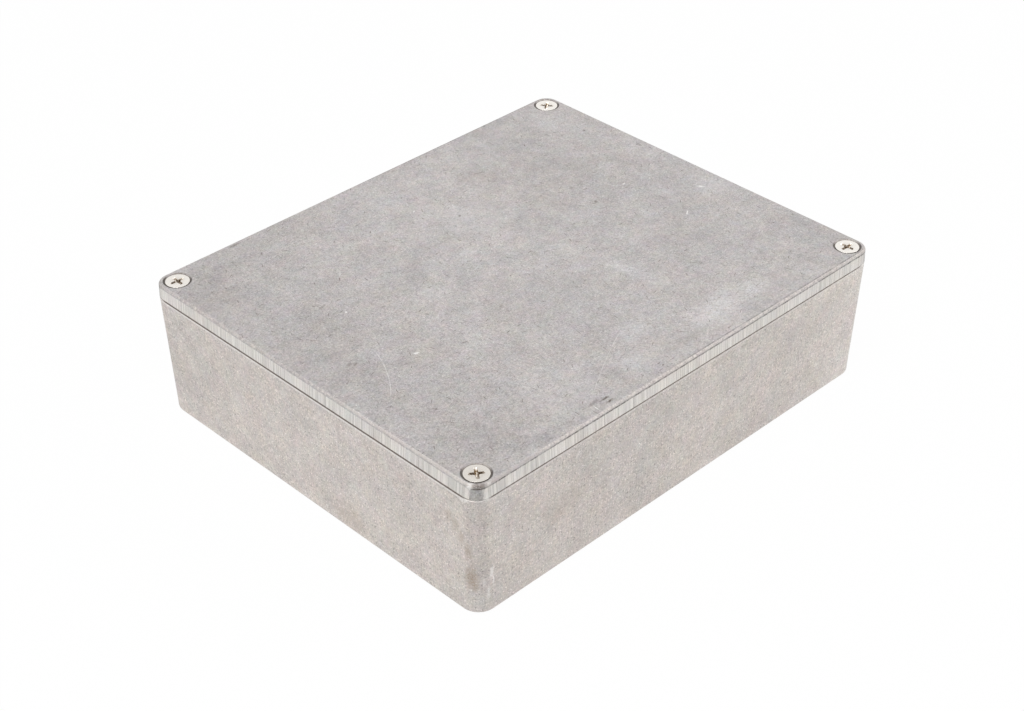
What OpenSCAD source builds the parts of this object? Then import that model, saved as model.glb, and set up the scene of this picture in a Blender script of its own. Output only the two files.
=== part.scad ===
// Die-cast aluminium enclosure: a drafted tub, a lid with a lap joint and four countersunk screws.
// The origin is the middle of the underside, +X runs along the length and +Z goes up.

/* [Overall] */
// Length over the lid, at the parting line
box_length = 145.3; // [110:0.1:200]
// Width over the lid, at the parting line
box_width = 121.1; // [80:0.1:160]
// Height of the tub from its underside to the parting line
tub_height = 35.4; // [24:0.1:70]
// Height of the lid above the parting line
lid_height = 4.35; // [4.2:0.05:6]

/* [Tub] */
// Plan radius of the tub's corners at the rim
tub_corner = 5.8; // [5:0.1:7]
// Thickness of the walls at the top of the tongue
wall = 2.4; // [2:0.1:2.8]
// Thickness of the floor
floor_thickness = 2.4; // [1.8:0.1:4]
// Draft of the outer walls in degrees
outer_draft = 1.1; // [0.5:0.1:1.5]
// Draft of the inner walls in degrees
inner_draft = 1.6; // [0.8:0.1:2.5]
// Round along the lower outer edge
foot_round = 1.1; // [0.5:0.1:1.8]
// Fillet between the floor and the walls inside
floor_fillet = 2; // [1:0.1:3]
// Plan radius of the cavity's corners at the top
cavity_corner = 5.2; // [5:0.1:7]

/* [Lap joint] */
// Height of the tongue that stands on the rim
tongue_height = 1.5; // [0.8:0.1:1.5]
// Thickness of the tongue at its foot
tongue_thickness = 1.1; // [0.8:0.05:1.2]
// Slope of the tongue's outer face in degrees
tongue_draft = 4; // [1:0.5:6]
// Round along the tongue's upper edge
tongue_round = 0.3; // [0.1:0.05:0.4]
// Gap between the tongue and the lid
lap_gap = 0.2; // [0.1:0.05:0.3]
// Break on the two edges that meet at the parting line
parting_break = 0.2; // [0.1:0.05:0.3]
// How far the lid stands out over the tub's rim on each side
lid_overhang = 0.1; // [0:0.05:0.4]

/* [Lid] */
// Plan radius of the lid's corners at the parting line
lid_corner = 4.2; // [3.6:0.1:5]
// Draft of the lid's outer edge in degrees
lid_draft = 2; // [0.5:0.5:4]
// Round along the lid's upper edge
lid_round = 0.8; // [0.4:0.1:1.2]
// Fillet between the lid's plate and its skirt inside
lid_fillet = 0.5; // [0.2:0.1:0.8]
// Thickness of the lid's plate
lid_plate = 2.3; // [1.8:0.1:2.6]

/* [Corner posts] */
// Distance from the lid's sides to the screws' axes
screw_inset = 4.75; // [4.6:0.05:5.6]
// Radius of the round face of each post
post_radius = 4.2; // [3.8:0.1:5]
// Fillet between a post and the wall beside it
post_fillet = 1.6; // [0.8:0.1:2.5]
// Radius of the tapped holes in the posts
tapped_radius = 1.8; // [1.5:0.05:2]
// Depth of the tapped holes below the parting line
tapped_depth = 13; // [10:0.5:18]

/* [Screws] */
// Length of a screw with its head
screw_length = 12.7; // [10:0.1:14]
// Radial clearance between a shank and its tapped hole
thread_clearance = 0.05; // [0.02:0.01:0.1]
// Radius of a screw's head
head_radius = 3.2; // [3:0.05:3.3]
// Height of the straight rim around a head
head_rim = 0.2; // [0.1:0.05:0.3]
// Gap between a head's cone and its countersink, along the axis
seat_gap = 0.04; // [0.02:0.01:0.1]
// Radius of the countersinks at the lid's top
countersink_radius = 3.58; // [3.5:0.01:3.8]
// Radius of the clear holes through the lid
clear_radius = 2.1; // [2.05:0.05:2.4]
// Span of the cross recess at the head's top
recess_span = 3.3; // [2.6:0.1:3.6]
// Width of the recess's wings
recess_width = 0.72; // [0.5:0.02:0.9]
// Depth of the recess
recess_depth = 1.7; // [1.2:0.1:2]
// Turn of each recess in degrees: front left, front right, rear left, rear right
recess_turns = [55, 0, 87, 36]; // [0:1:90]

/* [Ejector marks] */
// Radius of the round marks that the ejector pins leave
mark_radius = 3; // [2:0.5:4]
// Depth of those marks
mark_depth = 0.15; // [0.1:0.05:0.3]
// Distance from the lid's short sides to the outer marks
mark_inset_x = 20; // [14:1:30]
// Distance from the lid's long sides to the marks
mark_inset_y = 22; // [14:1:30]

/* [Hidden] */
$fn = 64;
// Length by which a cut runs past the face that it opens
over = 1;
// Half of a drill point's angle in degrees
drill_half_angle = 59;
// Break on the mouths of the tapped holes
mouth_break = 0.4;
// Chamfer on the end of a shank
tip_chamfer = 0.5;
// Radius of the round middle of a recess, and of the recess at its foot
core_radius = 0.8;
recess_foot = 0.5;

top = tub_height + lid_height;
tongue_top = tub_height + tongue_height;
plate_bottom = top - lid_plate;
half_length = box_length / 2;
half_width = box_width / 2;
// Distances from the lid's sides to the tub's inner face, the tongue's foot and the skirt's inner face
inner_inset = lid_overhang + wall;
tongue_inset = inner_inset - tongue_thickness;
skirt = tongue_inset - lap_gap;
screw_x = half_length - screw_inset;
screw_y = half_width - screw_inset;
shank_radius = tapped_radius - thread_clearance;
// The head's cone lies the seat gap above the countersink's cone, which both open by a right angle
head_top = top - (countersink_radius - head_radius) + head_rim + seat_gap;
cast_colour = [0.72, 0.71, 0.69];
plated_colour = [0.93, 0.91, 0.87];

// Half section of a block, from the axis of a corner's round outwards. The side leans from rim
// at z1 to a narrower foot at z0, the foot's edge is round and the rim's edge may be broken.
module half_section(reach, rim, z0, z1, lean, edge_round, edge_break) {
    foot = rim - (z1 - z0) * tan(lean);
    radius = min(edge_round, foot / 2);
    centre = [foot - radius * (1 - sin(lean)) / cos(lean), z0 + radius];
    rim_points = edge_break > 0
        ? [[rim - edge_break * tan(lean), z1 - edge_break], [rim - edge_break, z1]]
        : [[rim, z1]];
    polygon(concat(
        [[-reach, z0], [centre.x, z0], centre, centre + radius * [cos(lean), -sin(lean)]],
        rim_points,
        [[-reach, z1]]
    ));
    translate(centre) circle(radius);
}

// Block with drafted sides and round corners, wide at z1: two crossed prisms of the half section
// and its mirror image, and a quarter turn of it at each corner
module block(half_x, half_y, corner, z0, z1, lean, edge_round, edge_break = 0) {
    corner_x = half_x - corner;
    corner_y = half_y - corner;
    rotate([90, 0, 90])
        linear_extrude(2 * corner_x, center = true)
            for (side = [0, 1]) mirror([side, 0]) translate([corner_y, 0])
                half_section(corner_y, corner, z0, z1, lean, edge_round, edge_break);
    rotate([90, 0, 0])
        linear_extrude(2 * corner_y, center = true)
            for (side = [0, 1]) mirror([side, 0]) translate([corner_x, 0])
                half_section(corner_x, corner, z0, z1, lean, edge_round, edge_break);
    for (x = [-1, 1], y = [-1, 1])
        towards(x, y)
            translate([corner_x, corner_y, 0])
                rotate_extrude(angle = 90)
                    half_section(0, corner, z0, z1, lean, edge_round, edge_break);
}

// The same block upside down: wide at z0 and round along its upper edge
module turned_block(half_x, half_y, corner, z0, z1, lean, edge_round, edge_break = 0) {
    translate([0, 0, z0 + z1])
        mirror([0, 0, 1])
            block(half_x, half_y, corner, z0, z1, lean, edge_round, edge_break);
}

// Turns what is drawn towards +X and +Y towards the corner with the signs x and y
module towards(x, y) {
    mirror([x < 0 ? 1 : 0, 0, 0])
        mirror([0, y < 0 ? 1 : 0, 0])
            children();
}

module at_screws() {
    for (x = [-1, 1], y = [-1, 1])
        towards(x, y) translate([screw_x, screw_y, 0]) children();
}

module at_marks() {
    for (x = [-1, 0, 1], y = [-1, 1])
        translate([x * (half_length - mark_inset_x), y * (half_width - mark_inset_y), 0]) children();
}

// Plan of a corner post around its screw's axis, with flat sides that run into both walls
module post_plan(gap = 0) {
    radius = post_radius + gap;
    circle(radius);
    translate([0, -radius]) square([screw_inset, radius + screw_inset]);
    translate([-radius, 0]) square([radius + screw_inset, screw_inset]);
}

// Fillets where a post's two flat sides meet the walls
module post_fillets() {
    inner_face = screw_inset - inner_inset;
    for (swap = [0, 1])
        mirror([swap, -swap])
            translate([inner_face - post_fillet, -post_radius - post_fillet])
                difference() {
                    square(post_fillet + wall / 2);
                    circle(post_fillet);
                }
}

module cavity() {
    lean_out = over * tan(inner_draft);
    difference() {
        block(half_length - inner_inset + lean_out, half_width - inner_inset + lean_out,
            cavity_corner, floor_thickness, tongue_top + over, inner_draft, floor_fillet);
        at_screws() linear_extrude(tub_height) {
            post_plan();
            post_fillets();
        }
    }
}

module tongue() {
    lean_out = over * tan(tongue_draft);
    difference() {
        turned_block(half_length - tongue_inset + lean_out, half_width - tongue_inset + lean_out,
            tub_corner - tongue_inset, tub_height - over, tongue_top, tongue_draft, tongue_round);
        translate([0, 0, tub_height])
            at_screws() linear_extrude(tongue_height + over) post_plan(lap_gap);
    }
}

// Blind hole for a screw, with a drill point and a broken mouth, its mouth at the origin
module tapped_hole() {
    mouth_radius = tapped_radius + mouth_break;
    rotate_extrude()
        polygon([
            [0, -tapped_depth - tapped_radius / tan(drill_half_angle)],
            [tapped_radius, -tapped_depth],
            [tapped_radius, -mouth_break],
            [mouth_radius, 0],
            [mouth_radius, over],
            [0, over]
        ]);
}

module tub() {
    color(cast_colour)
        difference() {
            union() {
                block(half_length - lid_overhang, half_width - lid_overhang,
                    tub_corner, 0, tub_height, outer_draft, foot_round, parting_break);
                tongue();
            }
            cavity();
            translate([0, 0, tub_height]) at_screws() tapped_hole();
            translate([0, 0, floor_thickness - mark_depth])
                at_marks() cylinder(h = mark_depth + over, r = mark_radius);
        }
}

// Space inside the lid's skirt, around the pads that stand on the posts
module lid_recess() {
    lean_out = over * tan(tongue_draft);
    difference() {
        turned_block(half_length - skirt + lean_out, half_width - skirt + lean_out,
            lid_corner - skirt + lean_out, tub_height - over, plate_bottom, tongue_draft, lid_fillet);
        at_screws() linear_extrude(top) post_plan();
    }
}

// Hole through the lid with its countersink, its mouth at the origin
module countersunk_hole() {
    rotate_extrude()
        polygon([
            [0, -lid_height - over],
            [clear_radius, -lid_height - over],
            [clear_radius, clear_radius - countersink_radius],
            [countersink_radius, 0],
            [countersink_radius, over],
            [0, over]
        ]);
}

module lid() {
    color(cast_colour)
        difference() {
            turned_block(half_length, half_width,
                lid_corner, tub_height, top, lid_draft, lid_round, parting_break);
            lid_recess();
            translate([0, 0, top]) at_screws() countersunk_hole();
            translate([0, 0, plate_bottom + mark_depth - over])
                at_marks() cylinder(h = over, r = mark_radius);
        }
}

// Cross recess: two wings and a round middle, all inside one cone, open at the origin
module cross_recess() {
    intersection() {
        translate([0, 0, -recess_depth])
            cylinder(h = recess_depth + over, r1 = recess_foot,
                r2 = recess_foot + (recess_span / 2 - recess_foot) * (recess_depth + over) / recess_depth);
        union() {
            for (turn = [0, 90]) rotate([0, 0, turn])
                cube([recess_span + 2 * over, recess_width, 2 * (recess_depth + over)], center = true);
            cylinder(h = 2 * (recess_depth + over), r = core_radius, center = true);
        }
    }
}

// Countersunk screw at the corner with the signs x and y
module screw(x, y, turn) {
    neck = head_rim + head_radius - shank_radius;
    color(plated_colour)
        translate([x * screw_x, y * screw_y, head_top])
            rotate([0, 0, turn])
                difference() {
                    rotate_extrude()
                        polygon([
                            [0, 0],
                            [head_radius, 0],
                            [head_radius, -head_rim],
                            [shank_radius, -neck],
                            [shank_radius, tip_chamfer - screw_length],
                            [shank_radius - tip_chamfer, -screw_length],
                            [0, -screw_length]
                        ]);
                    cross_recess();
                }
}

module screw_front_left() {
    screw(-1, -1, recess_turns[0]);
}

module screw_front_right() {
    screw(1, -1, recess_turns[1]);
}

module screw_rear_left() {
    screw(-1, 1, recess_turns[2]);
}

module screw_rear_right() {
    screw(1, 1, recess_turns[3]);
}

tub();
lid();
screw_front_left();
screw_front_right();
screw_rear_left();
screw_rear_right();
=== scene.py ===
"""Finishes a die-cast aluminium enclosure: cast and linished surfaces, plated screws and a white studio."""

import math
from functools import reduce

import bmesh
import bpy
from bpy.props import FloatProperty, FloatVectorProperty, PointerProperty
from mathutils import Euler, Matrix, Vector


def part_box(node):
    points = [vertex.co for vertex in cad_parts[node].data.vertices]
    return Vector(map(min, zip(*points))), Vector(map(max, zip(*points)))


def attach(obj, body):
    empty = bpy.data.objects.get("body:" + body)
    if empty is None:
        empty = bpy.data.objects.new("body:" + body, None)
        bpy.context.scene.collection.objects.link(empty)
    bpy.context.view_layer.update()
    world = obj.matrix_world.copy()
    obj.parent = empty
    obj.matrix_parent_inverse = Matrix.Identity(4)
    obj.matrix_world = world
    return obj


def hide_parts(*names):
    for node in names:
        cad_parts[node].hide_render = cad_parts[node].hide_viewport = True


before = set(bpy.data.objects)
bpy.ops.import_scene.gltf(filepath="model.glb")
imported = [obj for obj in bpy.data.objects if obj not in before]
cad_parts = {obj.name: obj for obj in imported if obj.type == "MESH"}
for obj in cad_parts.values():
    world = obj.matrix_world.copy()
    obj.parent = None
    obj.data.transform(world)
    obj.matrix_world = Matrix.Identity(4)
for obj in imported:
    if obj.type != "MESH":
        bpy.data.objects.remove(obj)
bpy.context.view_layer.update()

bl_info = {
    "name": "Die-Cast Enclosure",
    "version": (1, 0, 0),
    "blender": (4, 5, 0),
    "location": "3D View > Sidebar > Enclosure",
    "description": "Finishes the castings and screws of a die-cast enclosure and sets up its studio",
    "category": "Object",
}

MM = 0.001
ORIGIN = (0.0, 0.0, 0.0)
# In millimetres: radius of the lid's countersinks, and reach of a flat mark above and below the lid's top
COUNTERSINK = 3.58
MARK_DEPTH = 3.0
# Turn of each screw's recess in degrees, and the tone of its plating
SCREWS = {
    "screw_front_left": (55.0, 0.80),
    "screw_front_right": (0.0, 1.0),
    "screw_rear_left": (87.0, 0.93),
    "screw_rear_right": (36.0, 1.0),
}

# Marks on the lid's top in millimetres: x, y, half length, half width, turn in degrees, strength
DARK_MARKS = [
    (-27.2, -56.9, 1.5, 0.42, -2, 1.0),
    (-26.8, -58.4, 1.3, 0.38, 4, 1.0),
    (-30.0, -56.2, 2.2, 0.6, 8, 0.45),
    (-7.3, -56.3, 0.5, 0.22, 0, 0.8),
    (-7.0, -57.5, 0.5, 0.22, 20, 0.9),
    (-3.2, -57.4, 0.9, 0.14, 4, 0.5),
    (16.8, -58.4, 0.8, 0.22, 0, 0.7),
    (6.8, -51.2, 1.7, 0.16, -55, 0.6),
    (-59.6, -4.8, 1.0, 0.5, 30, 0.5),
    (-60.9, -3.9, 0.9, 0.5, 10, 0.4),
    (-34.5, -16.7, 1.0, 0.25, -15, 0.7),
    (-17.0, -11.6, 0.8, 0.5, 20, 0.4),
    (-58.3, -31.7, 1.2, 0.2, -50, 0.6),
    (37.4, 6.8, 0.9, 0.45, 60, 0.7),
    (38.0, 16.7, 1.3, 0.6, 70, 0.4),
    (25.2, 40.8, 2.2, 0.25, -20, 0.5),
    (5.8, 27.7, 0.7, 0.35, 30, 0.6),
    (64.4, 37.1, 0.6, 0.4, 60, 0.8),
    (69.7, 20.2, 1.1, 0.3, 85, 0.6),
    (70.5, 16.6, 0.9, 0.25, 85, 0.6),
    (69.9, 12.4, 0.8, 0.2, 85, 0.5),
    (-60.5, 10.1, 1.0, 0.35, -40, 0.4),
    (-38.2, 9.2, 0.8, 0.5, 10, 0.4),
    (-49.5, 19.9, 1.2, 0.4, 10, 0.35),
    (-47.0, 58.9, 2.2, 0.4, 2, 0.6),
]
# Brown and grey stains on the lid's top, and pale blooms, in the same way
STAINS = [
    (25.5, 38.0, 8, 5, -40, 0.55),
    (60.5, 15.0, 5, 9, 10, 0.4),
    (38.0, 35.0, 9, 5, 20, 0.25),
    (-62.0, -8.0, 8, 10, 0, 0.35),
    (-50.0, -47.0, 18, 8, -10, 0.3),
    (-66.0, 45.0, 8, 12, 0, 0.35),
    (4.0, -54.5, 12, 1.6, 2, 0.5),
    (-19.0, -47.0, 3, 9, 10, 0.3),
]
BLOOMS = [
    (33.5, -51.6, 3.2, 1.9, 25, 1.0),
    (21.5, -50.5, 11, 5, 8, 0.9),
    (35.0, -51.0, 6, 3.5, -15, 0.7),
    (-11.0, -51.0, 4, 5, 30, 0.6),
    (-1.0, -42.5, 7, 4, 20, 0.5),
    (18.5, -24.0, 3.2, 12, 8, 0.45),
    (15.0, -5.0, 4, 5, 0, 0.3),
    (7.0, 24.0, 9, 12, 30, 0.4),
    (-24.0, 4.0, 6, 4, -30, 0.35),
    (-20.0, -29.0, 5, 4, 0, 0.3),
    (66.0, -10.0, 6, 6, 0, 0.5),
    (62.0, 44.0, 8, 10, 0, 0.35),
    (-34.0, -43.0, 14, 6, 15, 0.3),
]
LIGHT_SPECKS = [
    (-31.1, 44.2, 0.35, 0.3, 0, 0.9),
    (-1.4, 38.2, 0.6, 0.2, 30, 0.8),
    (-46.1, -11.8, 0.8, 0.45, -20, 1.0),
    (-46.6, 13.9, 0.5, 0.3, 50, 0.9),
    (50.9, -14.6, 1.1, 0.22, 35, 1.0),
    (64.0, -8.0, 1.0, 0.5, -60, 0.9),
    (49.9, 8.0, 0.8, 0.3, 10, 0.8),
    (57.4, 5.1, 0.4, 0.3, 0, 0.8),
    (-7.8, -8.3, 0.5, 0.15, 60, 0.7),
    (-36.2, 28.5, 1.1, 0.3, 45, 0.35),
    (-31.2, -58.1, 1.1, 0.16, 84, 0.9),
]
# Broad light and dark areas of the lid's top, in the same way
SHADES = [
    (-66.0, 0.0, 26, 80, 0, -0.07),
    (-66.0, -55.0, 30, 22, 0, -0.05),
    (-40.0, 60.0, 40, 20, 0, -0.05),
    (-2.0, 30.0, 16, 40, 0, 0.03),
    (66.0, -50.0, 14, 20, 0, -0.05),
    (40.0, 30.0, 16, 22, 0, -0.03),
    (0.0, -5.0, 30, 20, 0, 0.015),
    (-44.0, -57.4, 10, 2.4, 0, -0.10),
    (32.0, -52.5, 8, 4, 0, 0.03),
]
# Scratches on the lid's top: x, y, half length, bow, turn in degrees, width, strength
SCRATCHES = [
    (-57.7, -12.2, 10.5, -1.3, 60, 0.12, 0.6),
    (-15.0, -46.6, 12.5, 0.4, 29, 0.13, 0.45),
    (10.0, -39.8, 2.8, 0.2, -45, 0.11, 0.35),
    (-64.0, -42.5, 2.0, 0.1, 40, 0.1, 0.3),
]
# Marks on the tub, most of them around its near corner: centre, half size, strength
TUB_STAINS = [
    ((-72.4, -51.2, 27.2), (1.5, 1.4, 1.7), 0.35),
    ((-72.4, -53.2, 25.6), (1.5, 1.3, 2.1), 0.45),
    ((-72.3, -55.0, 22.8), (1.5, 1.2, 2.2), 0.5),
    ((-71.9, -57.0, 19.4), (1.6, 1.2, 2.6), 0.5),
    ((-71.5, -57.6, 13.5), (1.5, 0.9, 3.5), 0.35),
    ((-71.5, -57.4, 11.4), (1.7, 1.7, 3.6), 0.8),
    ((-71.2, -57.9, 9.4), (1.5, 1.3, 2.4), 0.7),
    ((-68.4, -60.1, 30.7), (0.35, 0.8, 0.3), 1.0),
    ((-44.0, -60.2, 19.0), (7.0, 3.0, 5.0), 0.25),
    ((-72.2, -14.0, 4.5), (3.0, 6.0, 4.0), 0.35),
]
TUB_SCUFFS = [
    ((-67.5, -60.0, 12.8), (0.6, 1.0, 2.0), 1.0),
    ((-67.0, -60.0, 9.4), (0.35, 1.0, 1.5), 1.0),
    ((-68.3, -59.7, 6.4), (0.4, 0.8, 2.0), 0.8),
    ((-69.4, -59.4, 9.8), (0.3, 0.8, 1.3), 0.6),
    ((-72.3, -56.0, 34.4), (2.0, 1.2, 0.5), 0.8),
]
# The same on the lid's near corner: brown patches with a painted shade line under the round, then worn
# spots with a painted highlight on the round
LID_STAINS_AND_SHADE = [
    ((-70.6, -59.3, 39.4), (2.2, 1.5, 0.7), 0.75),
    ((-71.2, -59.3, 38.75), (1.8, 1.8, 0.18), 1.0),
    ((-70.5, -58.5, 39.7), (0.6, 0.5, 0.3), 1.0),
]
LID_SCUFFS_AND_HIGHLIGHT = [
    ((-72.1, -58.0, 39.2), (0.8, 1.0, 0.6), 0.8),
    ((-68.6, -60.3, 39.5), (0.9, 0.6, 0.4), 0.5),
]


def feed(tree, socket, value):
    """Links a field or a socket to a socket, or sets the socket where the value is plain"""
    if isinstance(value, Field):
        tree.links.new(value.socket, socket)
    elif hasattr(value, "is_output"):
        tree.links.new(value, socket)
    else:
        socket.default_value = value


def add(tree, kind, inputs=None, **settings):
    """Adds a node with its settings, then its inputs by label or number"""
    node = tree.nodes.new(kind)
    for name, value in settings.items():
        setattr(node, name, value)
    for key, value in (inputs or {}).items():
        feed(tree, node.inputs[key], value)
    return node


class Field:
    """A number, vector or colour that varies over a surface; each step on it adds a node to its tree"""

    def __init__(self, tree, socket):
        self.tree = tree
        self.socket = socket

    def node(self, kind, inputs, output=0, **settings):
        return Field(self.tree, add(self.tree, kind, inputs, **settings).outputs[output])

    def maths(self, operation, *others):
        return self.node("ShaderNodeMath", dict(enumerate((self, *others))), operation=operation)

    def __add__(self, other):
        return self.maths("ADD", other)

    def __sub__(self, other):
        return self.maths("SUBTRACT", other)

    def __mul__(self, other):
        return self.maths("MULTIPLY", other)

    def __truediv__(self, other):
        return self.maths("DIVIDE", other)

    def size(self):
        return self.maths("ABSOLUTE")

    def most(self, other):
        return self.maths("MAXIMUM", other)

    def least(self, other):
        return self.maths("MINIMUM", other)

    def kept(self, low=0.0, high=1.0):
        """The value, kept between two bounds"""
        return self.least(high).most(low)

    def inverse(self):
        return self.node("ShaderNodeMath", {0: 1.0, 1: self}, operation="SUBTRACT")

    def reciprocal(self):
        return self.node("ShaderNodeMath", {0: 1.0, 1: self}, operation="DIVIDE")

    def step(self, low, high):
        """Rises smoothly from 0 at low to 1 at high, or falls where low is the greater"""
        bounds = (low, high, 0.0, 1.0) if low < high else (high, low, 1.0, 0.0)
        inputs = dict(zip(("Value", "From Min", "From Max", "To Min", "To Max"), (self, *bounds)))
        return self.node("ShaderNodeMapRange", inputs, "Result", interpolation_type="SMOOTHSTEP")

    def vector(self, operation, other=None, scale=None, output=0):
        inputs = {0: self, 1: other, "Scale": scale}
        inputs = {key: value for key, value in inputs.items() if value is not None}
        return self.node("ShaderNodeVectorMath", inputs, output, operation=operation)

    def parts(self):
        node = add(self.tree, "ShaderNodeSeparateXYZ", {0: self})
        return [Field(self.tree, socket) for socket in node.outputs]

    def turned(self, angle):
        """A place turned around the upright axis"""
        return self.node("ShaderNodeVectorRotate", {"Vector": self, "Angle": angle}, rotation_type="Z_AXIS")

    def noise(self, size, detail=0.0, roughness=0.5, distortion=0.0):
        """Even noise around 0 over a place, with features of the given size"""
        inputs = {"Vector": self, "Scale": 1.0 / size, "Detail": detail, "Roughness": roughness,
                  "Distortion": distortion}
        return self.node("ShaderNodeTexNoise", inputs) - 0.5

    def tint(self, mask, other):
        """A colour, mixed with another one where the mask is 1"""
        other = other if isinstance(other, Field) else (*other, 1.0)
        return self.node("ShaderNodeMix", {"Factor": mask, 6: self, 7: other}, 2, data_type="RGBA")


def joined(tree, x, y, z):
    return Field(tree, add(tree, "ShaderNodeCombineXYZ", {0: x, 1: y, 2: z}).outputs[0])


def field_colour(colour, level, warmth, green):
    """A colour times a level, made warmer and greener by small amounts"""
    red, middle, blue = colour
    return joined(
        level.tree,
        level * red * (warmth + 1.0),
        level * middle * (green + 1.0),
        level * blue * (warmth * -1.0 + 1.0),
    )


def new_group(name, inputs, outputs):
    """Starts a shader node group of numbers and vectors; gives its tree, its inputs and its output node"""
    tree = bpy.data.node_groups.new(name, "ShaderNodeTree")
    for label, value in inputs.items():
        kind = "NodeSocketFloat" if isinstance(value, float) else "NodeSocketVector"
        tree.interface.new_socket(label, in_out="INPUT", socket_type=kind).default_value = value
    for label in outputs:
        tree.interface.new_socket(label, in_out="OUTPUT", socket_type="NodeSocketFloat")
    source = tree.nodes.new("NodeGroupInput")
    drain = tree.nodes.new("NodeGroupOutput")
    return tree, {label: Field(tree, source.outputs[label]) for label in inputs}, drain


def use_group(group, place, **values):
    """Uses a group at a place; the keywords are its other inputs' labels with _ for a space"""
    inputs = {key.replace("_", " "): value for key, value in values.items()}
    node = add(place.tree, "ShaderNodeGroup", {"Place": place, **inputs}, node_tree=group)
    fields = [Field(place.tree, socket) for socket in node.outputs]
    return fields if len(fields) > 1 else fields[0]


def cast_grain_group():
    """Clouds, mottle and tint of a bare casting"""
    tree, given, drain = new_group(
        "Cast grain",
        {"Place": ORIGIN, "Clouds": 1.0, "Mottle": 1.0, "Sand": 1.0, "Sand Size": 0.8},
        ("Shade", "Warmth", "Green", "Relief"),
    )
    place = given["Place"]
    clouds = place.noise(34.0, 2.0, 0.6, 0.4)
    mottle = place.noise(8.0, 3.0, 1.0, 0.3)
    sand = place.vector("SCALE", scale=given["Sand Size"].reciprocal()).noise(1.0, 1.0, 1.0)
    shade = clouds * given["Clouds"] + mottle * given["Mottle"] + sand * given["Sand"]
    tint_place = place.vector("ADD", (31.0, 7.0, 53.0))
    warmth = tint_place.noise(8.0, 4.0, 1.0)
    green = tint_place.vector("ADD", (-60.0, 20.0, 9.0)).noise(6.0, 3.0, 1.0)
    relief = mottle * 0.5 + sand
    for label, value in (("Shade", shade), ("Warmth", warmth), ("Green", green), ("Relief", relief)):
        feed(tree, drain.inputs[label], value)


def speck_group():
    """Small grains or pits on an unrolled face, each in its own cell, at random angles"""
    tree, given, drain = new_group(
        "Specks",
        {"Place": ORIGIN, "Spacing": 2.0, "Share": 0.3, "Half Length": 0.4, "Half Width": 0.2},
        ("Mask",),
    )
    cells = add(
        tree, "ShaderNodeTexVoronoi", {"Vector": given["Place"], "Scale": given["Spacing"].reciprocal()},
        voronoi_dimensions="2D")
    chance, angle, strength = Field(tree, cells.outputs["Color"]).parts()
    local = given["Place"].vector("SUBTRACT", cells.outputs["Position"])
    x, y, _ = local.turned(angle * math.tau).parts()
    along = x / given["Half Length"]
    across = y / given["Half Width"]
    distance = (along * along + across * across).maths("SQRT")
    chosen = chance.maths("LESS_THAN", given["Share"])
    mask = distance.step(1.15, 0.75) * chosen * (strength * 0.7 + 0.3)
    feed(tree, drain.inputs["Mask"], mask)


def placed_mark_group():
    """One soft mark with a ragged edge, at a given place"""
    tree, given, drain = new_group(
        "Placed mark",
        {"Place": ORIGIN, "Centre": ORIGIN, "Half Size": (1.0, 1.0, 1.0), "Turn": 0.0,
         "Unevenness": 0.0, "Strength": 1.0},
        ("Mask",),
    )
    local = given["Place"].vector("SUBTRACT", given["Centre"]).turned(given["Turn"] * -1.0)
    distance = local.vector("DIVIDE", given["Half Size"]).vector("LENGTH", output=1)
    mask = (distance + given["Unevenness"]).step(1.35, 0.25) * given["Strength"]
    feed(tree, drain.inputs["Mask"], mask)


def scratch_group():
    """One thin bowed scratch that comes and goes along its length"""
    tree, given, drain = new_group(
        "Scratch",
        {"Place": ORIGIN, "Centre": ORIGIN, "Turn": 0.0, "Half Length": 5.0, "Bow": 0.0,
         "Width": 0.2, "Strength": 1.0},
        ("Mask",),
    )
    x, y, _ = given["Place"].vector("SUBTRACT", given["Centre"]).turned(given["Turn"] * -1.0).parts()
    along = x / given["Half Length"]
    bowed = y - given["Bow"] * (along * along * -1.0 + 1.0)
    across = bowed.size() / given["Width"]
    broken = (given["Place"].noise(1.6, 1.0) * 2.4 + 0.9).kept()
    mask = across.step(1.3, 0.2) * along.size().step(1.0, 0.85) * broken * given["Strength"]
    feed(tree, drain.inputs["Mask"], mask)


def linished_group():
    """Fine upright lines of a linished side"""
    tree, given, drain = new_group("Linished lines", {"Place": ORIGIN}, ("Lines", "Streaks"))
    x, y, z = given["Place"].parts()
    along = x + y
    feed(tree, drain.inputs["Lines"], joined(tree, along, z * 0.02, 0.0).noise(0.42, 1.0, 0.8))
    feed(tree, drain.inputs["Streaks"], joined(tree, along, z * 0.05, 5.0).noise(6.0, 4.0, 0.85))


def groups():
    """The shader node groups that the castings share, each built once"""
    makers = {
        "Cast grain": cast_grain_group,
        "Specks": speck_group,
        "Placed mark": placed_mark_group,
        "Scratch": scratch_group,
        "Linished lines": linished_group,
    }
    for name, maker in makers.items():
        if name not in bpy.data.node_groups:
            maker()
    return {name: bpy.data.node_groups[name] for name in makers}


def new_material(name):
    """Starts a material; gives its tree, its shader, its place in millimetres and its normal"""
    material = bpy.data.materials.new(name)
    material.use_nodes = True
    tree = material.node_tree
    shader = tree.nodes["Principled BSDF"]
    coordinates = tree.nodes.new("ShaderNodeTexCoord")
    place = Field(tree, coordinates.outputs["Object"]).vector("SCALE", scale=1.0 / MM)
    normal = Field(tree, coordinates.outputs["Normal"])
    return material, tree, shader, place, normal


def bump(shader, height, strength, distance):
    """Roughens a shader's surface by a height"""
    inputs = {"Strength": strength, "Distance": distance, "Height": height}
    feed(height.tree, shader.inputs["Normal"], height.node("ShaderNodeBump", inputs))


def dress(node, material):
    """Gives a CAD node a new finish in each of its material slots"""
    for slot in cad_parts[node].material_slots:
        slot.material = material


def new_object(context, name, data):
    """Adds an object to the scene"""
    piece = bpy.data.objects.new(name, data)
    context.collection.objects.link(piece)
    return piece


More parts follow.
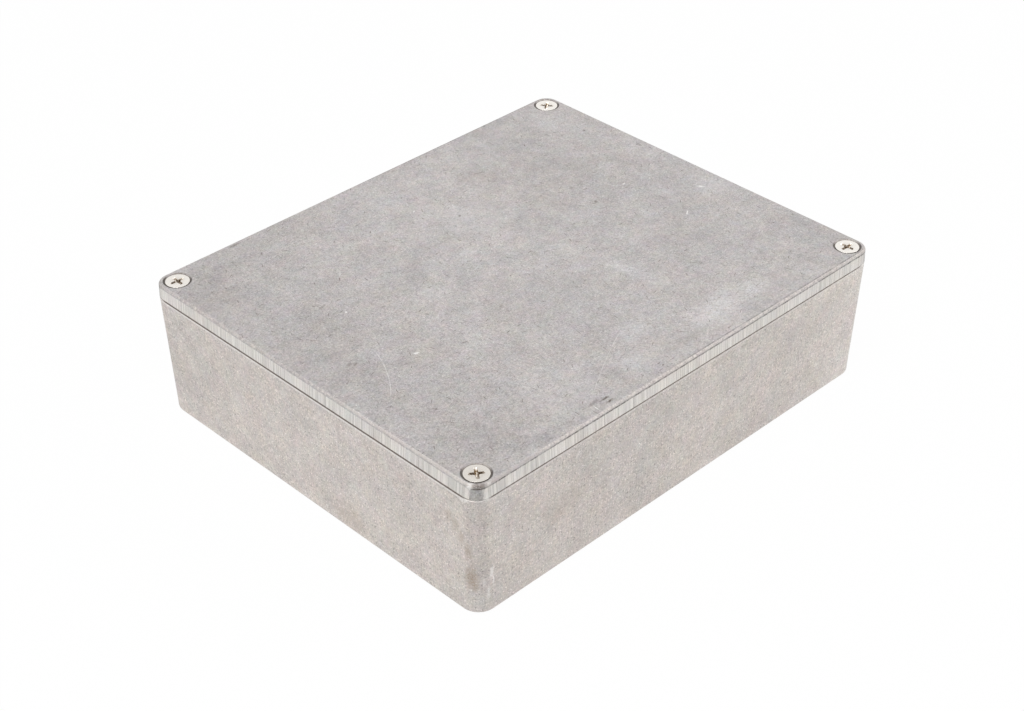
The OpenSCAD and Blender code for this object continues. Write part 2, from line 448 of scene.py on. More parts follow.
def unrolled(place, up):
    """Place on a face laid flat: x and y on level faces, the way around and z on upright ones"""
    x, y, z = place.parts()
    level = up.size().step(0.69, 0.71)
    upright = level.inverse()
    around = y * x.maths("SIGN") - x * y.maths("SIGN")
    return joined(place.tree, x * level + around * upright, y * level + z * upright, 0.0)


def strewn(shared, skin, shift, spacing, share, half_length, half_width):
    """The mask of small marks strewn over an unrolled face; each kind has its own shift"""
    return use_group(
        shared["Specks"], skin.vector("ADD", (*shift, 0.0)), Spacing=spacing, Share=share,
        Half_Length=half_length, Half_Width=half_width)


def marks(shared, place, uneven, rows, height, merge=Field.most):
    """The mask of a list of flat marks on the lid's top"""
    return reduce(merge, [
        use_group(
            shared["Placed mark"], place, Centre=(x, y, height), Turn=math.radians(turn),
            Half_Size=(half_length, half_width, MARK_DEPTH), Unevenness=uneven, Strength=strength)
        for x, y, half_length, half_width, turn, strength in rows])


def spots(shared, place, uneven, rows):
    """The mask of a list of marks in space"""
    return reduce(Field.most, [
        use_group(
            shared["Placed mark"], place, Centre=centre, Half_Size=half_size, Unevenness=uneven,
            Strength=strength)
        for centre, half_size, strength in rows])


class CastingFinish(bpy.types.PropertyGroup):
    """Colours and sizes of the castings' finish"""

    lid_colour: FloatVectorProperty(
        name="Lid colour", description="Colour of the lid's cast top", subtype="COLOR", size=3,
        min=0.0, max=1.0, default=(0.514, 0.488, 0.480))
    tub_colour: FloatVectorProperty(
        name="Tub colour", description="Colour of the tub's tumbled walls", subtype="COLOR", size=3,
        min=0.0, max=1.0, default=(0.617, 0.573, 0.543))
    band_colour: FloatVectorProperty(
        name="Band colour", description="Colour of the linished sides of the lid", subtype="COLOR",
        size=3, min=0.0, max=1.0, default=(0.672, 0.644, 0.612))
    as_cast_colour: FloatVectorProperty(
        name="As-cast colour", description="Colour of the lid's corners, which the belt misses",
        subtype="COLOR", size=3, min=0.0, max=1.0, default=(0.375, 0.37, 0.355))
    stain_colour: FloatVectorProperty(
        name="Stain colour", description="Colour of the brown stains", subtype="COLOR", size=3,
        min=0.0, max=1.0, default=(0.30, 0.235, 0.185))
    soil_and_shade_colour: FloatVectorProperty(
        name="Soil and shade colour", description="Colour of the brown dirt on the tub's near corner",
        subtype="COLOR", size=3, min=0.0, max=1.0, default=(0.40, 0.32, 0.25))
    # Painted shade: the dark lines along the lid's edge and the rings round the screw heads
    painted_shade_colour: FloatVectorProperty(
        name="Painted shade colour", description="Colour of the painted shade round the screw heads and along the lid's edge", subtype="COLOR",
        size=3, min=0.0, max=1.0, default=(0.050, 0.040, 0.034))
    # Worn spots and painted highlights share this colour
    wear_and_highlight_colour: FloatVectorProperty(
        name="Wear and highlight colour", description="Colour of worn spots and painted highlights along the lid's edge and round the screws", subtype="COLOR",
        size=3, min=0.0, max=1.0, default=(0.76, 0.715, 0.68))
    bloom_colour: FloatVectorProperty(
        name="Bloom colour", description="Colour of the pale, cool blooms", subtype="COLOR", size=3,
        min=0.0, max=1.0, default=(0.68, 0.695, 0.72))
    # Also the painted shade in the seam and the countersinks
    pit_and_shade_colour: FloatVectorProperty(
        name="Pit and shade colour", description="Colour in pits and dark dashes, and of painted shade in the seam and the countersinks", subtype="COLOR", size=3,
        min=0.0, max=1.0, default=(0.115, 0.085, 0.068))
    # Also the painted highlights under the tub's rim and on the lid's near corner
    bright_colour: FloatVectorProperty(
        name="Bright colour", description="Colour of scratches, worn grains and painted highlights", subtype="COLOR",
        size=3, min=0.0, max=1.0, default=(0.86, 0.84, 0.82))
    roughness: FloatProperty(
        name="Roughness", description="Roughness of the cast surfaces", subtype="FACTOR",
        min=0.0, max=1.0, default=0.55)


class CornerForm(bpy.types.PropertyGroup):
    """Rounds of the tub's corners, which tighten from the foot to the rim"""

    plain_radius: FloatProperty(
        name="Plain radius", description="Rim radius of the plain corner below", unit="LENGTH",
        default=5.8 * MM)
    draft: FloatProperty(
        name="Draft", description="Draft of the walls", unit="ROTATION", default=math.radians(1.1))
    rim_radius: FloatProperty(
        name="Rim radius", description="Radius at the rim", unit="LENGTH", default=3.9 * MM)
    foot_radius: FloatProperty(
        name="Foot radius", description="Radius where the corner meets the foot", unit="LENGTH",
        default=5.2 * MM)
    foot: FloatProperty(
        name="Foot", description="Height at which the corner begins", unit="LENGTH", default=1.5 * MM)
    rim_break: FloatProperty(
        name="Rim break", description="Break on the rim's edge", unit="LENGTH", default=0.2 * MM)


class ScrewForm(bpy.types.PropertyGroup):
    """Sizes of the countersunk screws"""

    head_radius: FloatProperty(
        name="Head radius", description="Radius of the head", unit="LENGTH", default=3.2 * MM)
    head_rim: FloatProperty(
        name="Head rim", description="Height of the straight rim", unit="LENGTH", default=0.2 * MM)
    edge_round: FloatProperty(
        name="Edge round", description="Round along the head's edge", unit="LENGTH", default=0.08 * MM)
    core_radius: FloatProperty(
        name="Core radius", description="Radius at the thread's root", unit="LENGTH",
        default=1.40 * MM)
    thread_height: FloatProperty(
        name="Thread height", description="Height of the thread over the core", unit="LENGTH",
        default=0.33 * MM)
    pitch: FloatProperty(
        name="Pitch", description="Rise of the thread in one turn", unit="LENGTH", default=0.8 * MM)
    recess_span: FloatProperty(
        name="Recess span", description="Span of the cross recess", unit="LENGTH", default=4.1 * MM)
    recess_width: FloatProperty(
        name="Recess width", description="Width of the wings", unit="LENGTH", default=0.85 * MM)
    recess_depth: FloatProperty(
        name="Recess depth", description="Depth of the recess", unit="LENGTH", default=1.6 * MM)
    plating_colour: FloatVectorProperty(
        name="Plating colour", description="Colour of the nickel plating", subtype="COLOR", size=3,
        min=0.0, max=1.0, default=(0.90, 0.865, 0.815))
    # Also the painted shade in the recess and under the head's rim
    soil_and_shade_colour: FloatVectorProperty(
        name="Soil and shade colour", description="Colour of the dirt and painted shade in the recess, and of the painted shade under the head's rim",
        subtype="COLOR", size=3, min=0.0, max=1.0, default=(0.19, 0.12, 0.055))


class StudioSetup(bpy.types.PropertyGroup):
    """Camera and light of the studio"""

    aim: FloatVectorProperty(
        name="Aim", description="Point that the camera looks at", unit="LENGTH", size=3,
        default=(2.4548 * MM, 4.2840 * MM, 6.7519 * MM))
    azimuth: FloatProperty(
        name="Azimuth", description="Turn of the camera around the box", unit="ROTATION",
        default=math.radians(-44.5189))
    elevation: FloatProperty(
        name="Elevation", description="Height angle of the camera", unit="ROTATION",
        default=math.radians(35.2726))
    roll: FloatProperty(
        name="Roll", description="Turn of the camera about its view", unit="ROTATION",
        default=math.radians(-0.1804))
    distance: FloatProperty(
        name="Distance", description="Distance from the aim to the camera", unit="LENGTH",
        default=0.53092)
    lens: FloatProperty(
        name="Lens", description="Focal length for a sensor 36 mm wide", subtype="DISTANCE_CAMERA",
        default=68.341)
    floor_size: FloatProperty(
        name="Floor size", description="Side of the floor", unit="LENGTH", default=6.0)
    world_level: FloatProperty(
        name="World level", description="Brightness of the white room", default=0.62, min=0.0)
    key_power: FloatProperty(
        name="Key power", description="Power of the large lamp", unit="POWER", default=5.0)
    fill_power: FloatProperty(
        name="Fill power", description="Power of the second lamp", unit="POWER", default=2.0)


class ENCLOSURE_OT_lid(bpy.types.Operator):
    """Gives the lid its cast top, linished sides, marks and scratches"""

    bl_idname = "enclosure.finish_lid"
    bl_label = "Finish the lid"

    def execute(self, context):
        finish = context.scene.casting_finish
        shared = groups()
        low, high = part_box("lid")
        low, high = low / MM, high / MM
        material, tree, shader, place, normal = new_material("cast_lid_finish")
        x, y, z = place.parts()
        across, along, up = normal.parts()
        skin = unrolled(place, up)
        shade, warmth, green, relief = use_group(
            shared["Cast grain"], place, Clouds=0.20, Mottle=0.58, Sand=0.95, Sand_Size=0.44)
        flat_top = up.step(0.80, 0.97) * z.step(high.z - 0.4, high.z - 0.1)

        edge_noise = place.noise(0.6, 2.0, 0.7)
        cloud_noise = place.noise(3.5, 3.0, 0.8)
        crisp_noise = place.noise(2.4, 3.0, 1.0)
        shades = marks(shared, place, cloud_noise * 0.5, SHADES, high.z, Field.__add__)
        blooms = marks(shared, place, crisp_noise * 4.0, BLOOMS, high.z)
        stains = marks(shared, place, cloud_noise * 2.2, STAINS, high.z)
        dark = marks(shared, place, edge_noise * 2.2, DARK_MARKS, high.z)
        specks = marks(shared, place, edge_noise * 1.2, LIGHT_SPECKS, high.z)
        crowd = skin.noise(14.0, 2.0, 0.6) * 1.6
        dashes = strewn(shared, skin, (0.0, 0.0), 3.0, crowd + 0.36, 0.80, 0.11)
        pits = strewn(shared, skin, (9.0, 4.0), 1.7, crowd + 0.30, 0.24, 0.13)
        flecks = strewn(shared, skin, (3.0, 8.0), 1.5, crowd * -0.8 + 0.34, 0.22, 0.10)
        scratches = reduce(Field.most, [
            use_group(
                shared["Scratch"], place, Centre=(*centre, high.z), Turn=math.radians(turn),
                Half_Length=half_length, Bow=bow, Width=width, Strength=strength)
            for *centre, half_length, bow, turn, width, strength in SCRATCHES])

        crust = blooms * (crisp_noise * 3.6 + edge_noise * 3.6 + 1.0).most(0.0)
        level = shade + 1.0 + (crust * 0.11 - stains * 0.07 + shades + flecks * 0.34) * flat_top
        colour = field_colour(finish.lid_colour, level, warmth * 0.16, green * 0.19)
        colour = colour.tint((crust * flat_top * 0.34).least(1.0), finish.bloom_colour)
        colour = colour.tint(stains * flat_top * 0.12, finish.stain_colour)
        colour = colour.tint((dashes * 0.6 + pits * 0.5).least(1.0) * flat_top, finish.pit_and_shade_colour)
        colour = colour.tint(dark * flat_top * 0.72, finish.pit_and_shade_colour)
        bright = (specks * 0.9 + scratches * 0.8 + flecks * 0.12).least(1.0)
        colour = colour.tint(bright * flat_top, finish.bright_colour)

        # The belt reaches the flat sides only, below the edge's round
        long_edge = along.size().step(0.1, 0.3)
        short_edge = across.size().step(0.1, 0.3)
        lines, streaks = use_group(shared["Linished lines"], place)
        upright_noise = place.vector("MULTIPLY", (1.0, 1.0, 0.25)).noise(0.9, 3.0, 0.9)
        long_side = (along.size() + upright_noise * 0.16).step(0.90, 0.985)
        short_side = (across.size() + upright_noise * 0.16).step(0.90, 0.985)
        side = long_side.most(short_side)
        ragged = z + edge_noise * 0.5
        band = side * ragged.step(high.z - 0.82, high.z - 1.02)
        below_round = z.step(high.z - 0.3, high.z - 0.75)
        outer = x.size().step(high.x - 2.2, high.x - 1.2).most(y.size().step(high.y - 2.2, high.y - 1.2))
        ragged_side = long_edge.least(short_edge) + upright_noise * 0.9
        as_cast = below_round * outer * side.inverse() * ragged_side.step(0.15, 0.55)
        as_cast_level = crisp_noise * 0.8 + edge_noise * 1.1 + upright_noise * 1.5 + 1.0
        as_cast_colour = field_colour(finish.as_cast_colour, as_cast_level, warmth * 0.2, green * 0.2)
        colour = colour.tint(as_cast * (cloud_noise * 1.2 + 0.8).least(1.0), as_cast_colour)
        band_level = lines * 0.95 + streaks * 0.32 + 1.0
        band_colour = field_colour(finish.band_colour, band_level, warmth * 0.14, green * 0.12)
        colour = colour.tint(band, band_colour)

        # Brown wear along the edge's round, a painted highlight on it, painted shade along its top and
        # foot, and a painted highlight on the short sides' round
        rounded = up.step(0.97, 0.85) * up.step(0.15, 0.35) * z.step(high.z - 1.0, high.z - 0.7)
        corner_edge = long_edge * short_edge
        roughed = edge_noise * 0.5 + crisp_noise * 0.5
        wear = (roughed * 1.8 + corner_edge * 0.16).most(0.0) * (corner_edge * 0.9 + 0.5)
        colour = colour.tint(rounded * wear.least(0.7), finish.stain_colour)
        # Lighter wear along the round, together with a painted highlight on it
        light_wear_and_highlight = edge_noise * -1.7 - crisp_noise * 1.2 + long_edge * 0.22 - corner_edge * 0.35 + 0.20
        light_wear_and_highlight = light_wear_and_highlight * (x.step(-56.0, -50.0) * long_edge * 0.7 + long_edge * -0.7 + 1.0)
        colour = colour.tint(rounded * light_wear_and_highlight.kept(0.0, 0.85), finish.wear_and_highlight_colour)
        # Painted shade: a dark line where the round meets the linished band on the long sides, and one
        # along the round's top on the long sides
        lower_line = (z + edge_noise * 0.16 - (high.z - 0.94)).size().step(0.26, 0.12) * long_edge * 1.3
        upper_line = (y.size() - (high.y - 0.74)).size().step(0.26, 0.06)
        upper_line = upper_line * z.step(high.z - 0.25, high.z - 0.1)
        upper_line = upper_line * x.step(-22.0, 12.0) * x.size().step(high.x - 3.5, high.x - 5.0) * 0.8
        uneven = (cloud_noise * 2.4 + 0.8).kept(0.15) * (edge_noise * 2.5 + 0.85).kept(0.25)
        colour = colour.tint((lower_line + upper_line) * uneven * 0.62, finish.painted_shade_colour)
        # Painted highlight along the short sides' round, on the near half
        painted_edge_highlight = across.size().step(0.12, 0.30) * up.step(0.25, 0.45) * y.step(-8.0, -20.0)
        colour = colour.tint(painted_edge_highlight * (crisp_noise * 3.0 + 0.55).kept() * 0.45, finish.wear_and_highlight_colour)

        # The near corner's brown patches and worn spots, with painted shade and a painted highlight on its
        # round, then painted shade in the seam with the tub
        corner_stains_and_shade = spots(shared, place, edge_noise * 1.4, LID_STAINS_AND_SHADE)
        corner_stains_and_shade = corner_stains_and_shade * (edge_noise * 2.2 + crisp_noise * 1.5 + 0.75).kept(0.05)
        corner_scuffs_and_highlight = spots(shared, place, edge_noise * 2.4, LID_SCUFFS_AND_HIGHLIGHT)
        colour = colour.tint(corner_scuffs_and_highlight, finish.bright_colour)
        colour = colour.tint(corner_stains_and_shade * 0.9, finish.pit_and_shade_colour)
        # Painted shade in the gap of the seam with the tub
        long_seam = z.step(low.z + 0.27, low.z + 0.20) * long_side
        seam = z.step(low.z + 0.46, low.z + 0.30) * short_side + long_seam
        colour = colour.tint(seam * 0.85, finish.pit_and_shade_colour)

        # Painted shade in the countersinks and in a ring round the screw heads, darkest on the near side,
        # and a painted highlight ring just outside
        screw_low, screw_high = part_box("screw_rear_right")
        screw_x, screw_y = (screw_low + screw_high).xy / 2 / MM
        hole_x = x - x.maths("SIGN") * screw_x
        hole_y = y - y.maths("SIGN") * screw_y
        hole = (hole_x * hole_x + hole_y * hole_y).maths("SQRT")
        # Painted shade inside the countersinks
        sunk = z.step(high.z - 0.05, high.z - 0.40) * hole.step(COUNTERSINK + 0.04, COUNTERSINK - 0.08)
        colour = colour.tint(sunk * 0.7, finish.pit_and_shade_colour)
        towards_front = (hole_x + hole_y) / hole * -math.sqrt(0.5)
        near_side_shade = towards_front.step(-0.7, 0.0) * 0.7 + towards_front.step(0.93, 0.985) * 0.2 + 0.1
        rim = (hole - (COUNTERSINK - 0.02)).size().step(0.26, 0.16) * (crisp_noise * 1.2 + 1.1).kept()
        colour = colour.tint(rim * near_side_shade, finish.painted_shade_colour)
        # Painted highlight: a light ring just outside each countersink
        painted_glint_ring = (hole - (COUNTERSINK + 0.52)).size().step(0.22, 0.06) * (cloud_noise * 3.0 + 0.3).kept()
        colour = colour.tint(painted_glint_ring * flat_top * 0.35, finish.wear_and_highlight_colour)

        feed(tree, shader.inputs["Base Color"], colour)
        shader.inputs["Metallic"].default_value = 0.9
        rough = shade * 0.8 + finish.roughness - band * 0.12 + dark * flat_top * 0.2 + rounded * 0.25
        feed(tree, shader.inputs["Roughness"], rough)
        height = relief * 0.6 - (dashes * 0.3 + pits * 0.3 + dark * 0.6) * flat_top + lines * band * 0.8 \
            - scratches * flat_top * 0.3
        bump(shader, height, 0.5, 0.00015)
        dress("lid", material)
        return {"FINISHED"}


class ENCLOSURE_OT_tub(bpy.types.Operator):
    """Gives the tub its tumbled walls with grains, stains and scuffs"""

    bl_idname = "enclosure.finish_tub"
    bl_label = "Finish the tub"

    def execute(self, context):
        finish = context.scene.casting_finish
        shared = groups()
        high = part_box("tub")[1] / MM
        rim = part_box("lid")[0].z / MM
        material, tree, shader, place, normal = new_material("cast_tub_finish")
        x, _, z = place.parts()
        across, along, up = normal.parts()
        skin = unrolled(place, up)
        shade, warmth, green, relief = use_group(
            shared["Cast grain"], place, Clouds=0.20, Mottle=0.60, Sand=1.0, Sand_Size=0.46)
        grains = strewn(shared, skin, (0.0, 0.0), 0.80, 0.42, 0.24, 0.12)
        bright = strewn(shared, skin, (5.0, 2.0), 2.0, 0.34, 0.32, 0.14)
        pits = strewn(shared, skin, (1.0, 6.0), 1.1, 0.32, 0.28, 0.14)
        cloud_noise = place.noise(2.5, 3.0, 0.8)
        fine_noise = place.noise(1.0, 2.0, 1.0)
        stains = spots(shared, place, fine_noise * 1.6 + cloud_noise, TUB_STAINS)
        scuffs = spots(shared, place, fine_noise * 4.0, TUB_SCUFFS)

        rubbed_foot = z.step(3.0, 0.3) * (place.noise(3.0, 2.0, 0.7) * 2.0 + 0.6).kept()
        # Painted shade: the near long side and the corners' turn a little darker, the corners also cooler;
        # painted reflection: the near long side lighter towards its +x end
        front = along.step(-0.6, -0.9)
        pale_end = x.step(44.0, 66.0) * front * 0.11
        turned = (across * along).size().step(0.12, 0.4)
        level = shade + 1.0 + rubbed_foot * 0.06 + pale_end - front * 0.035 - turned * 0.035 \
            + grains * 0.34 + bright * 0.20 - pits * 0.40
        colour = field_colour(finish.tub_colour, level, warmth * 0.14 - turned * 0.008, green * 0.16)
        dotted = (skin.noise(0.45, 2.0, 0.8) * 3.0 + 0.75).kept(0.0, 1.3)
        colour = colour.tint((stains * dotted).least(1.0), finish.soil_and_shade_colour)
        colour = colour.tint((scuffs * 0.6 + bright * 0.45).least(1.0), finish.bright_colour)
        # Wear and a painted highlight just below the seam, weaker on the near long side
        rim_wear_and_highlight = z.step(rim - 1.1, rim - 0.6) * (cloud_noise * 1.6 + 0.75).kept()
        rim_wear_and_highlight = rim_wear_and_highlight * (front * -0.34 + 0.66) * turned.inverse()
        colour = colour.tint(rim_wear_and_highlight, finish.bright_colour)
        # Painted shade in the gap of the seam with the lid, broken along the near long side
        seam = z.step(rim - 0.34, rim - 0.24) * z.step(rim + 0.02, rim - 0.01) * up.step(0.95, 0.80)
        seam_end = place.vector("ABSOLUTE").vector("DOT_PRODUCT", (1.0, 1.0, 0.0), output=1)
        seam = seam * seam_end.step(high.x + high.y - 3.4, high.x + high.y - 5.4)
        broken = (cloud_noise * 3.0 + 0.85).kept(0.2)
        seam = seam * (broken * front + front.inverse())
        colour = colour.tint(seam * 0.85, finish.pit_and_shade_colour)

        feed(tree, shader.inputs["Base Color"], colour)
        shader.inputs["Metallic"].default_value = 0.85
        feed(tree, shader.inputs["Roughness"], shade * 0.6 + finish.roughness + 0.05)
        bump(shader, relief + grains * 0.25 - pits * 0.3, 0.4, 0.00012)
        dress("tub", material)
        return {"FINISHED"}


class ENCLOSURE_OT_corners(bpy.types.Operator):
    """Fills out the tub's corners towards the rim, as they are cast"""

    bl_idname = "enclosure.fill_corners"
    bl_label = "Fill out the corners"

    def execute(self, context):
        form = context.scene.corner_form
        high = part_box("tub")[1]
        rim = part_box("lid")[0].z
        breadths = (high.x, high.y)
        steps, rows = 16, 12
        mesh = bmesh.new()
        for sign_x in (-1, 1):
            for sign_y in (-1, 1):
                loops = []
                for row in range(rows + 1):
                    height = form.foot + (rim - form.rim_break - form.foot) * row / rows
                    loops.append(corner_outline(form, breadths, rim, height, 0.0, steps))
                loops.append(corner_outline(form, breadths, rim, rim, form.rim_break, steps))
                rings = [[mesh.verts.new((sign_x * x, sign_y * y, z)) for x, y, z in loop]
                         for loop in loops]
                for lower, upper in zip(rings, rings[1:]):
                    for index in range(len(lower)):
                        after = (index + 1) % len(lower)
                        mesh.faces.new((lower[index], lower[after], upper[after], upper[index]))
                for ring in (rings[0], rings[-1]):
                    for index in range(len(ring) // 2 - 1):
                        mesh.faces.new((ring[index], ring[index + 1], ring[-index - 2], ring[-index - 1]))
        bmesh.ops.recalc_face_normals(mesh, faces=mesh.faces)
        data = bpy.data.meshes.new("tub_corners")
        mesh.to_mesh(data)
        mesh.free()
        data.materials.append(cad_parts["tub"].material_slots[0].material)
        data.shade_smooth()
        data.set_sharp_from_angle(angle=math.radians(30))
        piece = new_object(context, "tub_corners", data)
        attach(piece, "tub")
        return {"FINISHED"}


def corner_outline(form, breadths, rim, height, inset, steps):
    """Section of one fuller corner at a height: along its outer side, then back inside the wall"""
    lean = (rim - height) * math.tan(form.draft)
    share = (height - form.foot) / (rim - form.foot)
    radius = form.foot_radius + (form.rim_radius - form.foot_radius) * share
    plain = form.plain_radius - lean
    walls = [breadth - lean for breadth in breadths]

    def arc(reach, bend, count):
        angles = [math.pi / 2 * step / (count - 1) for step in range(count)]
        return [(walls[0] - bend + reach * math.cos(angle), walls[1] - bend + reach * math.sin(angle))
                for angle in angles]

    outer = arc(radius - inset, radius, steps + 1)
    tuck, lap = 0.02 * MM, 0.05 * MM
    start = (outer[0][0] - tuck, min(outer[0][1], walls[1] - plain) - lap)
    end = (min(outer[-1][0], walls[0] - plain) - lap, outer[-1][1] - tuck)
    inner = arc(plain - 0.4 * MM, plain, steps + 3)
    return [(x, y, height) for x, y in (start, *outer, end, *reversed(inner))]


def recess_outline(form, angle, depth_share):
    """Distance from the axis to the recess's wall, at an angle and a share of its depth"""
    span = form.recess_span / 2
    reach = span + (0.5 * MM - span) * depth_share
    wing = form.recess_width / 2 * (1 - 0.25 * depth_share)
    core = (0.8 - 0.4 * depth_share) * MM
    turned = abs((angle + math.pi / 4) % (math.pi / 2) - math.pi / 4)
    flank = wing / max(math.sin(turned), 1e-4)
    soft = 14.0
    wall = (reach ** -soft + flank ** -soft) ** (-1 / soft)
    return (wall ** soft + core ** soft) ** (1 / soft)


def screw_blank(form, length):
    """A screw without its thread, its head's top at the origin: rings around the axis"""
    steps = 192
    rings = []
    angles = [2 * math.pi * step / steps for step in range(steps)]
    shares = [1.0, 0.9, 0.75, 0.55, 0.35, 0.15, 0.04]
    for share in shares:
        rings.append([(recess_outline(form, a, share), -form.recess_depth * share) for a in angles])
    lip = 0.05 * MM
    rings.append([(recess_outline(form, a, 0.0) + lip * 0.2, -lip * 0.4) for a in angles])
    rings.append([(recess_outline(form, a, 0.0) + lip, 0.0) for a in angles])
    edge = form.edge_round
    profile = [(form.recess_span / 2 + 0.35 * MM, 0.0), (form.head_radius - 2.2 * edge, 0.0)]
    for turn in (0, 22.5, 45, 67.5, 90):
        turn = math.radians(turn)
        profile.append((form.head_radius - edge * (1 - math.sin(turn)), -edge * (1 - math.cos(turn))))
    neck = form.head_rim + form.head_radius - form.core_radius
    profile += [
        (form.head_radius, -form.head_rim),
        (form.core_radius + 0.25 * MM, -neck + 0.25 * MM),
        (form.core_radius + 0.05 * MM, -neck - 0.02 * MM),
        (form.core_radius, -neck - 0.25 * MM),
        (form.core_radius, 0.6 * MM - length),
        (form.core_radius - 0.5 * MM, -length),
    ]
    rings += [[(radius, height)] * steps for radius, height in profile]
    mesh = bmesh.new()
    soil_and_shade = mesh.verts.layers.float.new("recess_depth")
    loops = []
    for index, ring in enumerate(rings):
        loop = []
        for angle, (radius, height) in zip(angles, ring):
            vertex = mesh.verts.new((radius * math.cos(angle), radius * math.sin(angle), height))
            if index < len(shares):
                vertex[soil_and_shade] = shares[index]
            loop.append(vertex)
        loops.append(loop)
    for lower, upper in zip(loops, loops[1:]):
        for step in range(steps):
            after = (step + 1) % steps
            mesh.faces.new((lower[step], lower[after], upper[after], upper[step]))
    for loop, height, share in ((loops[0], -form.recess_depth - 0.1 * MM, 1.0), (loops[-1], -length, 0.0)):
        pole = mesh.verts.new((0.0, 0.0, height))
        pole[soil_and_shade] = share
        for step in range(steps):
            mesh.faces.new((loop[step], loop[(step + 1) % steps], pole))
    bmesh.ops.recalc_face_normals(mesh, faces=mesh.faces)
    data = bpy.data.meshes.new("screw_blank")
    mesh.to_mesh(data)
    mesh.free()
    return data


def thread_tree():
    """Geometry nodes that roll a thread onto a blank and set the screw in its place"""
    tree = bpy.data.node_groups.new("Rolled thread", "GeometryNodeTree")
    tree.interface.new_socket("Geometry", in_out="INPUT", socket_type="NodeSocketGeometry")
    for label, value in (("Core Radius", 0.0014), ("Thread Height", 0.0003), ("Pitch", 0.0008),
                         ("Thread Length", 0.009), ("Thread End", 0.0125), ("Turn", 0.0), ("Tone", 1.0)):
        socket = tree.interface.new_socket(label, in_out="INPUT", socket_type="NodeSocketFloat")
        socket.default_value = value
    tree.interface.new_socket("Place", in_out="INPUT", socket_type="NodeSocketVector")
    tree.interface.new_socket("Finish", in_out="INPUT", socket_type="NodeSocketMaterial")
    tree.interface.new_socket("Geometry", in_out="OUTPUT", socket_type="NodeSocketGeometry")
    given = tree.nodes.new("NodeGroupInput").outputs
    drain = tree.nodes.new("NodeGroupOutput")

    spiral = add(tree, "GeometryNodeCurveSpiral", {
        "Resolution": 36, "Rotations": Field(tree, given["Thread Length"]) / given["Pitch"],
        "Start Radius": given["Core Radius"], "End Radius": given["Core Radius"],
        "Height": given["Thread Length"]})
    upright = add(tree, "GeometryNodeSetCurveNormal", {"Curve": spiral.outputs["Curve"]}, mode="Z_UP")
    along = Field(tree, tree.nodes.new("GeometryNodeSplineParameter").outputs["Factor"])
    run_out = (along * 22.0).least(1.0).least((along * -1.0 + 1.0) * 22.0).most(0.05)
    profile = add(tree, "GeometryNodeCurvePrimitiveCircle", {
        "Resolution": 4, "Radius": given["Thread Height"]})
    sweep = add(tree, "GeometryNodeCurveToMesh", {
        "Curve": upright.outputs["Curve"], "Profile Curve": profile.outputs["Curve"],
        "Scale": run_out, "Fill Caps": True})
    lower = add(tree, "GeometryNodeTransform", {
        "Geometry": sweep.outputs["Mesh"],
        "Translation": joined(tree, 0.0, 0.0, Field(tree, given["Thread End"]) * -1.0)})
    both = tree.nodes.new("GeometryNodeJoinGeometry")
    for part in (lower.outputs["Geometry"], given["Geometry"]):
        tree.links.new(part, both.inputs["Geometry"])

    position = tree.nodes.new("GeometryNodeInputPosition")
    keep = add(tree, "GeometryNodeStoreNamedAttribute", {
        "Geometry": both.outputs["Geometry"], "Name": "screw_place", "Value": position.outputs[0],
    }, data_type="FLOAT_VECTOR", domain="POINT")
    tone = add(tree, "GeometryNodeStoreNamedAttribute", {
        "Geometry": keep.outputs["Geometry"], "Name": "plating_tone", "Value": given["Tone"],
    }, data_type="FLOAT", domain="POINT")
    seat = add(tree, "GeometryNodeTransform", {
        "Geometry": tone.outputs["Geometry"], "Rotation": joined(tree, 0.0, 0.0, given["Turn"]),
        "Translation": given["Place"]})
    real = add(tree, "GeometryNodeRealizeInstances", {"Geometry": seat.outputs["Geometry"]})
    paint = add(tree, "GeometryNodeSetMaterial", {
        "Geometry": real.outputs["Geometry"], "Material": given["Finish"]})
    feed(tree, drain.inputs["Geometry"], paint.outputs["Geometry"])
    return tree


def carried(tree, name, output="Fac"):
    """A value that a screw's mesh carries"""
    return Field(tree, add(tree, "ShaderNodeAttribute", attribute_name=name).outputs[output])


def plated_material(form):
    """Bright plating with a turned face, dirt and painted shade in the recess, and painted shade under the
    head's rim
    """
    material, tree, shader, place, _ = new_material("plated_screw_finish")
    local = carried(tree, "screw_place", "Vector").vector("SCALE", scale=1.0 / MM)
    sunk = carried(tree, "recess_depth")
    # Dirt and painted shade in the recess, darkest on its walls and lighter at its foot
    soil_and_shade = sunk.step(0.0, 0.28) * (sunk.step(0.6, 1.0) * -0.55 + 1.0)
    x, y, z = local.parts()
    radius = (x * x + y * y).maths("SQRT")
    rings = joined(tree, radius, 0.0, 0.0).noise(0.12, 1.0)
    cloud = place.noise(1.1, 3.0, 0.7)
    dulled = carried(tree, "plating_tone")
    level = (cloud * 0.16 + rings * 0.05 + 1.0) * dulled
    aged = dulled.inverse() * 0.07
    colour = field_colour(form.plating_colour, level, cloud * 0.05 + aged, cloud * 0.02)
    patch = (place.noise(0.36, 2.0, 0.7) * 8.0 + 0.75).kept(0.15)
    halo = radius.step(2.3, 1.2) * patch * 0.16
    colour = colour.tint((soil_and_shade * patch).most(halo), form.soil_and_shade_colour)
    # Painted shade under the head's rim, where it sits in the countersink
    rim = z.step(-0.03, -0.09) * radius.step(2.4, 2.9)
    colour = colour.tint(rim * 0.85, form.soil_and_shade_colour)
    feed(tree, shader.inputs["Base Color"], colour)
    shader.inputs["Metallic"].default_value = 1.0
    feed(tree, shader.inputs["Roughness"], cloud * 0.2 + soil_and_shade * 0.25 + 0.26)
    bump(shader, rings * 0.5 + cloud, 0.25, 0.00004)
    return material


